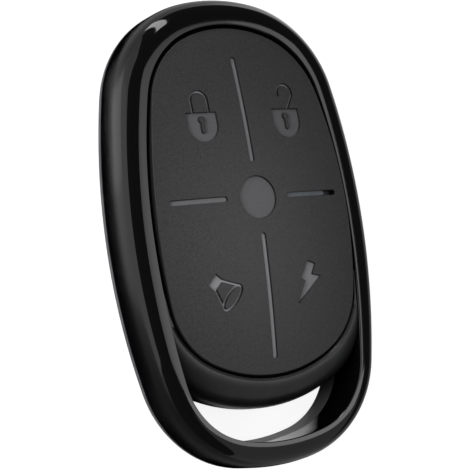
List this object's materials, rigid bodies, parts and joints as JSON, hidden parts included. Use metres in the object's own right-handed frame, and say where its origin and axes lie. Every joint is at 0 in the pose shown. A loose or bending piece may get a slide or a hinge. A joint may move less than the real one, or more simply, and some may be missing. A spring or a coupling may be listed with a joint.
{
  "type": "garage door remote",
  "caption": "Pebble-shaped hand remote with a glossy loop, a crescent key-ring hole and a domed rubber keypad with pressing zones.",
  "frame": {"origin": "centre of the outline on the flat back that the remote lies on", "axes": "+Z out of the keypad, +Y along the length towards the closed end, -Y towards the key-ring hole, +X to the right seen from the front"},
  "size_m": [0.0432, 0.0711, 0.0113],
  "materials": {
    "gloss_loop": "high-gloss black moulding",
    "rear_plastic": "gloss black moulding",
    "satin_case": "satin black moulding",
    "keypad_rubber": "fine matte silicone rubber",
    "smoked_window": "smoked clear acrylic",
    "lamp_resin": "clear resin",
    "board_laminate": "green solder mask",
    "copper_trace": "tinned copper",
    "chip_epoxy": "black moulded epoxy",
    "plated_lid": "plated lid",
    "chip_ceramic": "ceramic",
    "cell_steel": "nickel-plated steel",
    "cell_seal": "polypropylene seal",
    "contact_spring": "nickel-plated spring strip",
    "screw_steel": "black zinc-plated steel",
    "switch_moulding": "black nylon",
    "switch_steel": "stainless steel",
    "switch_stem": "acetal"
  },
  "bodies": {
    "case": {"loop_trim": "gloss_loop", "rear_shell": "rear_plastic", "front_case": "satin_case", "keypad_mat": "keypad_rubber", "light_pipe": "smoked_window", "indicator_lamp": "lamp_resin", "circuit_board": "board_laminate", "antenna_trace": "copper_trace", "controller_chip": "chip_epoxy", "radio_chip": "chip_epoxy", "crystal": "plated_lid", "saw_resonator": "plated_lid", "chip_resistors": "chip_ceramic", "chip_capacitors": "chip_ceramic", "coin_cell_can": "cell_steel", "coin_cell_gasket": "cell_seal", "coin_cell_cap": "cell_steel", "positive_contact": "contact_spring", "negative_contact": "contact_spring", "case_screws": "screw_steel", "lock_switch_base": "switch_moulding", "lock_switch_cover": "switch_steel", "lock_switch_dome": "switch_steel", "unlock_switch_base": "switch_moulding", "unlock_switch_cover": "switch_steel", "unlock_switch_dome": "switch_steel", "alarm_switch_base": "switch_moulding", "alarm_switch_cover": "switch_steel", "alarm_switch_dome": "switch_steel", "bolt_switch_base": "switch_moulding", "bolt_switch_cover": "switch_steel", "bolt_switch_dome": "switch_steel"},
    "lock_key": {"lock_key": "keypad_rubber"},
    "unlock_key": {"unlock_key": "keypad_rubber"},
    "alarm_key": {"alarm_key": "keypad_rubber"},
    "bolt_key": {"bolt_key": "keypad_rubber"},
    "lock_stem": {"lock_switch_stem": "switch_stem"},
    "unlock_stem": {"unlock_switch_stem": "switch_stem"},
    "alarm_stem": {"alarm_switch_stem": "switch_stem"},
    "bolt_stem": {"bolt_switch_stem": "switch_stem"}
  },
  "joints": [
    {"name": "lock_press", "type": "slide", "parent": "case", "child": "lock_key", "axis": [0, 0, -1], "range_m": [0, 0.0003], "stiffness_N_per_m": 4000},
    {"name": "unlock_press", "type": "slide", "parent": "case", "child": "unlock_key", "axis": [0, 0, -1], "range_m": [0, 0.0003], "stiffness_N_per_m": 4000},
    {"name": "alarm_press", "type": "slide", "parent": "case", "child": "alarm_key", "axis": [0, 0, -1], "range_m": [0, 0.0003], "stiffness_N_per_m": 4000},
    {"name": "bolt_press", "type": "slide", "parent": "case", "child": "bolt_key", "axis": [0, 0, -1], "range_m": [0, 0.0003], "stiffness_N_per_m": 4000},
    {"name": "lock_stem_slide", "type": "slide", "parent": "case", "child": "lock_stem", "axis": [0, 0, -1], "range_m": [0, 0.0003], "deforming": ["lock_switch_dome"]},
    {"name": "unlock_stem_slide", "type": "slide", "parent": "case", "child": "unlock_stem", "axis": [0, 0, -1], "range_m": [0, 0.0003], "deforming": ["unlock_switch_dome"]},
    {"name": "alarm_stem_slide", "type": "slide", "parent": "case", "child": "alarm_stem", "axis": [0, 0, -1], "range_m": [0, 0.0003], "deforming": ["alarm_switch_dome"]},
    {"name": "bolt_stem_slide", "type": "slide", "parent": "case", "child": "bolt_stem", "axis": [0, 0, -1], "range_m": [0, 0.0003], "deforming": ["bolt_switch_dome"]}
  ],
  "couplings": [
    {"joint": "lock_stem_slide", "follows": "lock_press", "ratio": 1},
    {"joint": "unlock_stem_slide", "follows": "unlock_press", "ratio": 1},
    {"joint": "alarm_stem_slide", "follows": "alarm_press", "ratio": 1},
    {"joint": "bolt_stem_slide", "follows": "bolt_press", "ratio": 1}
  ]
}
